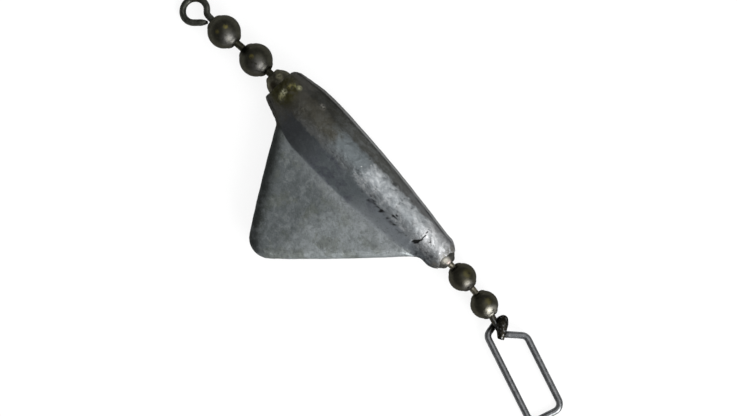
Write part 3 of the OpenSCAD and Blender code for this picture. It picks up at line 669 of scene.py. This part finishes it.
front_wire_metal = plated("front link wire", (0.035, 0.034, 0.024), (0.07, 0.068, 0.048), 0.42)
rear_wire_metal = plated("rear link wire", (0.12, 0.11, 0.085), (0.3, 0.28, 0.22), 0.4)
eye_metal = plated("eye wire", (0.055, 0.057, 0.048), (0.11, 0.112, 0.098), 0.36)
# painted shade: the spots darken the hook and the shank it wraps
snap_metal = plated("snap wire", (0.15, 0.155, 0.16), (0.23, 0.235, 0.24), 0.33,
    ((44.9, -0.9, -1.3, 1.3, (0.07, 0.065, 0.05)), (47.1, -1.4, -1.5, 1.3, SNAP_SHADE),
    (45.5, 0.2, -0.8, 1.5, SNAP_SHADE), (46.2, -0.4, -0.5, 1.5, SNAP_SHADE), (46.8, -1.0, -0.5, 1.5, SNAP_SHADE),
    (47.4, -1.7, -0.6, 1.2, SNAP_SHADE), (46.0, -1.6, -1.9, 1.1, SNAP_SHADE)))

# %% [markdown]
# ## Beads
# A chain bead is a strip of brass rolled into a hollow ball round the heads of two links. What
# gives it away is the seam that stays open from hole to hole, and the edge of each hole, which
# stands out in a small collar. So a ball with its poles on the chain's axis is cut open at both
# holes, one line of edges from hole to hole is widened into the seam, and the sheet then gets its
# wall.

# %% Helpers that shape a bead's holes
# The collar's shares are of the wall: how far it reaches, over what it rises, and its mouth.
COLLAR = 0.12
COLLAR_REACH, COLLAR_RISE, COLLAR_MOUTH = 1.3, 0.4, 0.3
INNER_REACH = math.radians(60)

def opened(vert, ball, open_r, wall):
    """Moves the inner skin back round a hole, so that the hole runs straight through the wall."""
    out = Vector((0, vert.co.y, vert.co.z))
    inner = vert.co.length
    away = math.atan2(out.length, abs(vert.co.x))
    edge = math.asin(open_r / ball)
    if inner < ball - wall / 2 and away < INNER_REACH:
        share = (INNER_REACH - away) / (INNER_REACH - edge)
        away += share * (math.asin(open_r / inner) - edge)
        side = Vector((math.copysign(1, vert.co.x), 0, 0))
        vert.co = inner * (side * math.cos(away) + out.normalized() * math.sin(away))

def collared(vert, ball, open_r, wall):
    """Lifts the skin round a hole into a collar and widens the hole's mouth a little."""
    out = Vector((0, vert.co.y, vert.co.z))
    edge = open_r + wall * COLLAR_REACH
    if vert.co.length < ball - wall / 2 or out.length > edge:
        return
    lift = min(1, (edge - out.length) / (wall * COLLAR_RISE))
    vert.co.x += math.copysign(COLLAR * MM * lift, vert.co.x)
    if out.length < open_r + wall * COLLAR_MOUTH:
        vert.co += out.normalized() * COLLAR / 2 * MM

# %% Helper that makes a bead
SEAM, ON_SEAM = 0.08, 0.01
UNEVEN = 0.01

def bead(node, body, size, wall, hole, at, direction, turn, material):
    ball, open_r, wall = size / 2 * MM, hole / 2 * MM, wall * MM
    bm = bmesh.new()
    bmesh.ops.create_uvsphere(bm, u_segments=72, v_segments=60, radius=ball)
    quarter = Matrix.Rotation(math.pi / 2, 3, "Y")
    bmesh.ops.rotate(bm, verts=bm.verts, cent=(0, 0, 0), matrix=quarter)
    cut = math.sqrt(ball ** 2 - open_r ** 2)
    for side in (-1, 1):
        everything = bm.verts[:] + bm.edges[:] + bm.faces[:]
        bmesh.ops.bisect_plane(bm, geom=everything, plane_co=(side * cut, 0, 0),
            plane_no=(side, 0, 0), clear_outer=True)
    seam = [e for e in bm.edges
        if all(abs(v.co.y) < ON_SEAM * MM and v.co.z > 0 for v in e.verts)]
    bmesh.ops.bevel(bm, geom=seam, offset=SEAM / 2 * MM, affect="EDGES", segments=1,
        profile=0.5, material=-1)
    strip = [f for f in bm.faces if abs(f.calc_center_median().y) < ON_SEAM * MM
        and f.calc_center_median().z > 0]
    bmesh.ops.delete(bm, geom=strip, context="FACES")
    bmesh.ops.recalc_face_normals(bm, faces=bm.faces)
    bmesh.ops.solidify(bm, geom=bm.faces[:], thickness=wall)
    for vert in bm.verts:
        opened(vert, ball, open_r, wall)
        collared(vert, ball, open_r, wall)
        off_axis = math.hypot(vert.co.y, vert.co.z) / ball
        vert.co *= 1 + UNEVEN * off_axis * noise.noise(vert.co / MM * 0.7 + at / MM)
    bm.transform(pointed(at, direction, math.radians(turn)))
    piece(node + "_shell", bm, body, [node], material)

# %% [markdown]
# The heads' centres come from the joints. A bead's centre lies inside from the head in its outer
# hole by the seat: how far out the wall lets a head go. The same sizes are used in the CAD source.

# %% Make the six beads
HEAD_GAP = 0.02

def seat(size, wall, hole, head):
    """From a bead's centre to the centre of a head that rests in one of its holes."""
    inside = math.sqrt((size / 2 - wall) ** 2 - (hole / 2) ** 2)
    return (inside - math.sqrt((head / 2 + HEAD_GAP) ** 2 - (hole / 2) ** 2)) * MM

CHAINS = {
    "front": {"size": 4.76, "wall": 0.4, "hole": 1.8, "head": 2.0, "wire": 1.04, "outwards": -1,
        "end": "eye_spin", "turns": (160, 215), "anchor": (FRONT, 200, front_anchor_metal),
        "metal": front_bead_metal, "link_metal": front_wire_metal},
    "rear": {"size": 3.97, "wall": 0.35, "hole": 1.56, "head": 1.72, "wire": 0.92, "outwards": 1,
        "end": "snap_spin", "turns": (190, 205), "anchor": (REAR, 170, rear_anchor_metal),
        "metal": rear_bead_metal, "link_metal": rear_wire_metal},
}
ANCHOR_SIZE, ANCHOR_WALL = 3.97, 0.35
heads = {}
for side, c in CHAINS.items():
    swings = ["inner_link_swing", "middle_bead_swing", "outer_link_swing", "end_bead_swing"]
    heads[side] = [joint_at[side + "_" + name] for name in swings] + [joint_at[c["end"]]]
    at, turn, metal = c["anchor"]
    bead(side + "_anchor_bead", "casting", ANCHOR_SIZE, ANCHOR_WALL, c["hole"], at,
        Vector((c["outwards"], 0, 0)), turn, metal)
    for name, first, turn in zip(("middle", "end"), (1, 3), c["turns"]):
        inner, outer = heads[side][first:first + 2]
        direction = (outer - inner).normalized()
        centre = outer - direction * seat(c["size"], c["wall"], c["hole"], c["head"])
        node = "%s_%s_bead" % (side, name)
        bead(node, node, c["size"], c["wall"], c["hole"], centre, direction, turn,
            c["metal"])

# %% [markdown]
# ## Links
# A link is a short wire with a ball head at each end and a flare under each head, where the metal
# was pushed up. It is round about its own axis, so half its outline is drawn as a few points and
# spun.

# %% Make the four links
TURN_STEPS, ARC_STEPS = 32, 10
MERGED = 0.001
FLARE = math.radians(51)
FLARE_RUN, FLARE_RISE = (-0.02, 0.05), 0.01

def turned(outline):
    """Spins an outline of (along, out) points, in mm, round the X axis."""
    bm = bmesh.new()
    verts = [bm.verts.new((x * MM, r * MM, 0)) for x, r in outline]
    edges = [bm.edges.new(pair) for pair in zip(verts, verts[1:])]
    bmesh.ops.spin(bm, geom=verts + edges, cent=(0, 0, 0), axis=(1, 0, 0),
        angle=math.tau, steps=TURN_STEPS, use_merge=True)
    bmesh.ops.remove_doubles(bm, verts=bm.verts, dist=MERGED * MM)
    return bm

def half_link(head, wire, length):
    """The outline of one head, its flare and half of the wire."""
    arc = [(-head / 2 * math.cos(a), head / 2 * math.sin(a))
        for a in (i / ARC_STEPS * (math.pi - FLARE) for i in range(ARC_STEPS + 1))]
    neck = arc[-1][0] + arc[-1][1] - wire / 2
    return arc + [(neck + FLARE_RUN[0], wire / 2 + FLARE_RISE),
        (neck + FLARE_RUN[1], wire / 2), (length / 2, wire / 2)]

for side, c in CHAINS.items():
    for name, first in (("inner", 0), ("outer", 2)):
        start, end = heads[side][first:first + 2]
        length = (end - start).length / MM
        near = half_link(c["head"], c["wire"], length)
        far = [(length - x, r) for x, r in reversed(near[:-1])]
        bm = turned(near + far)
        bm.transform(pointed(start, (end - start).normalized()))
        node = "%s_%s_link" % (side, name)
        piece(node + "_wire", bm, node, [node], c["link_metal"])

# %% [markdown]
# ## Bent wire
# The eye and the snap are each one wire, bent in a jig. The wire is made as a smith would: a ring
# of points is drawn along each straight, and swung about the centre of each bend, so that every
# bend has a true radius.

# %% Helpers that draw a wire on, swing it and narrow it
STRAIGHT_STEP = 0.8
BEND_STEP = math.radians(9)

def drawn(bm, ring, way, length):
    """Draws a ring of edges along a straight in short steps and returns the last ring."""
    count = max(1, round(length / STRAIGHT_STEP / MM))
    for _ in range(count):
        made = bmesh.ops.extrude_edge_only(bm, edges=ring)["geom"]
        moved = [g for g in made if isinstance(g, bmesh.types.BMVert)]
        bmesh.ops.translate(bm, verts=moved, vec=way * length / count)
        ring = [g for g in made if isinstance(g, bmesh.types.BMEdge)
            and all(v in moved for v in g.verts)]
    return ring

def swung(bm, ring, centre, axis, angle):
    """Swings a ring of edges about the centre of a bend and returns the last ring."""
    verts = list(dict.fromkeys(v for e in ring for v in e.verts))
    made = bmesh.ops.spin(bm, geom=verts + ring, cent=centre, axis=axis, angle=angle,
        steps=max(2, round(angle / BEND_STEP)), use_merge=False)
    return [g for g in made["geom_last"] if isinstance(g, bmesh.types.BMEdge)]

def narrowed(bm, ring, way, length, share):
    """Draws a ring along a way while it shrinks about its own middle."""
    ring = drawn(bm, ring, way, length)
    verts = list(dict.fromkeys(v for e in ring for v in e.verts))
    middle = sum((v.co for v in verts), Vector()) / len(verts)
    bmesh.ops.scale(bm, verts=verts, vec=(share,) * 3, space=Matrix.Translation(-middle))
    return ring

# %% Helpers that bend a whole wire and give it a head
def bent_wire(points, bends, size, tip):
    """A wire through points in mm, bent to a radius at each inner one. tip shapes its far end."""
    points = [Vector(p) * MM for p in points]
    ways = [(b - a).normalized() for a, b in zip(points, points[1:])]
    bm = bmesh.new()
    bmesh.ops.create_circle(bm, segments=28, radius=size / 2 * MM)
    facing = ways[0].to_track_quat("Z", "Y").to_matrix().to_4x4()
    bm.transform(Matrix.Translation(points[0]) @ facing)
    ring, start = bm.edges[:], points[0]
    for i, (radius, corner) in enumerate(zip(bends, points[1:])):
        turn = ways[i].angle(ways[i + 1])
        trim = radius * MM * math.tan(turn / 2)
        ring = drawn(bm, ring, ways[i], (corner - start).length - trim)
        inwards = (ways[i + 1] - ways[i + 1].project(ways[i])).normalized()
        centre = corner - ways[i] * trim + inwards * radius * MM
        ring = swung(bm, ring, centre, ways[i].cross(inwards), turn)
        start = corner + ways[i + 1] * trim
    ring = drawn(bm, ring, ways[-1], (points[-1] - start).length)
    for length, share in tip:
        ring = narrowed(bm, ring, ways[-1], length * MM, share)
    bmesh.ops.contextual_create(bm, geom=ring)
    return bm

def joined(bm, side):
    """Adds the ball head at the wire's start and puts it in the last bead of a chain."""
    c = CHAINS[side]
    bmesh.ops.create_uvsphere(bm, u_segments=32, v_segments=20, radius=c["head"] / 2 * MM)
    axis = joint_axis[c["end"]]
    bm.transform(pointed(heads[side][-1], axis if axis.x * c["outwards"] > 0 else -axis))

# %% [markdown]
# ## The line eye
# The line is tied to this loop. Its end was cut to a taper and bent back until it meets the shank
# beside the last bead, which leaves a small dark pinch there.

# %% Make the line eye
EYE = {"wire": 0.95, "inside": 2.58, "shank": 2.4, "run": 0.55, "bend": 0.8, "flat": 0.1,
    "end": 1.05, "taper": 0.9, "tip": 0.45}
EYE_BEND = math.radians(44)
TIP_SHARE = 0.8

upwards = Vector((math.cos(EYE_BEND), -math.sin(EYE_BEND), 0))
sideways = Vector((math.sin(EYE_BEND), math.cos(EYE_BEND), 0))
loop_r = (EYE["inside"] + EYE["wire"]) / 2
bend_at = Vector((EYE["shank"], 0, 0))
loop_middle = bend_at + EYE["run"] * upwards + loop_r * sideways
corners = [loop_middle + loop_r * (a * upwards + b * sideways)
    for a, b in ((1, -1), (1, 1), (-1, 1))]
eye_end = loop_middle - loop_r * upwards - EYE["end"] * sideways
tip = [(EYE["taper"] / 2, TIP_SHARE), (EYE["taper"] / 2, EYE["tip"] / EYE["wire"] / TIP_SHARE)]
eye = bent_wire([(0, 0, 0), bend_at] + corners + [eye_end],
    [EYE["bend"]] + [loop_r - EYE["flat"] / 2] * 3, EYE["wire"], tip)
joined(eye, "front")
piece("line_eye_wire", eye, "line_eye", ["line_eye"], eye_metal)

# %% [markdown]
# ## The snap
# One wire again: from its head through the neck and the fixed shoulder, down one long side, across
# the far end and up the other side, then under the shank and over it again in a hook that a thumb
# can lift.

# %% Bend the snap
SNAP = {"wire": 0.9, "width": 5.0, "length": 17.15, "shank": 3.9, "offset": 0.595, "fixed": 1.75,
    "free": 0.8, "corner": 1.2, "neck": 0.95, "shoulder": 1.15, "hook": 0.9, "gap": 0.1}
SNAP_TURN = math.radians(3.5)
SNAP_PLATING = 0.07
SNAP_TIP = [(0.06, 0.85)]
HOOK = ((-2, -0.17, -1), (-2.5, 0.55, -1), (-2.1, 0.68, 1), (0.5, -0.25, 1))

far = SNAP["length"] - SNAP["shank"]
fixed_side = SNAP["width"] * SNAP["offset"]
free_side = SNAP["width"] - fixed_side
layer = SNAP["wire"] + SNAP["gap"]
neck = Vector((SNAP["shank"], 0, 0))
frame_points = [(SNAP["fixed"], fixed_side, 0), (far, fixed_side, 0), (far, -free_side, 0),
    (-SNAP["free"], -free_side, 0)]
hook_points = [(a * SNAP["free"], b * free_side, c * layer) for a, b, c in HOOK]
lean = Matrix.Rotation(-SNAP_TURN, 3, "Z")
snap = bent_wire([(0, 0, 0), neck] + [neck + lean @ Vector(p) for p in frame_points + hook_points],
    [SNAP["neck"], SNAP["shoulder"], SNAP["corner"], SNAP["corner"], SNAP["neck"]]
    + [SNAP["hook"]] * 3, SNAP["wire"] + SNAP_PLATING, SNAP_TIP)
print("snap: %d points before its head" % len(snap.verts))

# %% [markdown]
# The end of the hook is pressed flat into a tab. Its points on one side are drawn out from the
# wire, most at the tab's start, and less towards both ends.

# %% Press the tab and set the snap in its bead
TAB, TAB_SLOPE = 0.6, 3
UNDER = 0.02             # mm, so that the wire's lowest points are moved too

tab_from, tab_to = [neck + lean @ Vector(p) for p in hook_points[-2:]]
tab_way = (tab_to - tab_from).normalized()
tab_side = Vector((-tab_way.y, tab_way.x, 0))
for vert in snap.verts:
    at = vert.co / MM - tab_from
    share = at.dot(tab_way) / (tab_to - tab_from).length
    if at.z > -SNAP["wire"] / 2 - UNDER and abs(at.dot(tab_side)) < SNAP["wire"]:
        widening = TAB * max(0, 1 - max(share, 0) ** 3) * max(0, 1 + min(share, 0) * TAB_SLOPE)
        vert.co -= tab_side * (SNAP["wire"] / 2 - at.dot(tab_side)) * widening * MM
joined(snap, "rear")
piece("lure_snap_wire", snap, "lure_snap", ["lure_snap"], snap_metal)

# %% [markdown]
# ## Floor, backdrop and light
# The photograph is a cut-out on white. The floor is a pale matt sheet for everything that the light
# does. Reflections see it nearly white. The camera looks through it to a white world, with a little
# of the matt sheet's shading added, so that it stays white and still keeps a soft shadow. A chain
# that swings down past the floor is still seen.

# %% Make the floor
MATT, SHADE, GLOW = 0.8, 0.18, 0.87
FLOOR_HALF = 3.0

def white_for_camera(tree):
    """A white sheet: matt for light, bright in reflections, and see-through for the camera."""
    tree.nodes.clear()
    rays = add_node(tree, "ShaderNodeLightPath", {}).outputs
    seen = rays["Is Camera Ray"]
    for kind in ("Is Glossy Ray", "Is Transmission Ray"):
        seen = add_node(tree, "ShaderNodeMath", {0: seen, 1: rays[kind]},
            operation="MAXIMUM").outputs[0]
    matt, shade = [add_node(tree, "ShaderNodeBsdfDiffuse", {"Color": grey(share)}).outputs[0]
        for share in (MATT, SHADE)]
    light = add_node(tree, "ShaderNodeEmission", {"Strength": GLOW}).outputs[0]
    clear = add_node(tree, "ShaderNodeBsdfTransparent", {"Color": grey(GLOW)}).outputs[0]
    mirrored, in_view = [add_node(tree, "ShaderNodeAddShader", {0: shade, 1: other}).outputs[0]
        for other in (light, clear)]
    shown = add_node(tree, "ShaderNodeMixShader",
        {0: rays["Is Camera Ray"], 1: mirrored, 2: in_view}).outputs[0]
    mixed = add_node(tree, "ShaderNodeMixShader", {0: seen, 1: matt, 2: shown}).outputs[0]
    add_node(tree, "ShaderNodeOutputMaterial", {0: mixed})

floor_white = bpy.data.materials.new("white floor")
floor_white.use_nodes = True
white_for_camera(floor_white.node_tree)
bm = bmesh.new()
bmesh.ops.create_grid(bm, x_segments=1, y_segments=1, size=FLOOR_HALF)
floor_mesh = bpy.data.meshes.new("floor")
bm.to_mesh(floor_mesh)
bm.free()
floor_mesh.materials.append(floor_white)
floor = bpy.data.objects.new("floor", floor_mesh)
bpy.context.scene.collection.objects.link(floor)
print("floor: %.0f m wide" % (2 * FLOOR_HALF))

# %% [markdown]
# The world is white for the camera, and a quarter as strong as light. Two softboxes do the rest:
# one overhead, and a low one beyond the tail that brightens the rubbed crest.

# %% Set the world and the lamps
WORLD_LIGHT = 0.25

world = bpy.data.worlds.new("studio")
bpy.context.scene.world = world
world.use_nodes = True
background = world.node_tree.nodes["Background"]
background.inputs["Color"].default_value = grey(1)
rays = add_node(world.node_tree, "ShaderNodeLightPath", {}).outputs
strength = add_node(world.node_tree, "ShaderNodeMath",
    {0: rays["Is Camera Ray"], 1: 1 - WORLD_LIGHT, 2: WORLD_LIGHT}, operation="MULTIPLY_ADD")
world.node_tree.links.new(strength.outputs[0], background.inputs["Strength"])

def lamp(name, direction, distance, width, height, power):
    """A softbox that hangs in a direction from the sinker and faces it."""
    data = bpy.data.lights.new(name, "AREA")
    data.shape = "RECTANGLE"
    data.size, data.size_y, data.energy = width, height, power
    made = bpy.data.objects.new(name, data)
    bpy.context.scene.collection.objects.link(made)
    away = direction.normalized()
    made.location = away * distance
    made.rotation_euler = away.to_track_quat("Z", "Y").to_euler()
    print("%s lamp: %.1f W" % (name, power))

lamp("overhead", Vector((0.1, 0.45, 1)), 0.7, 0.8, 0.8, 1.9)
lamp("low", Vector((1, -0.05, 0.53)), 0.6, 0.36, 0.5, 4.4)

# %% [markdown]
# ## Finish
# The Standard view keeps every colour as it was written.

# %% Set the view
bpy.context.scene.view_settings.view_transform = "Standard"
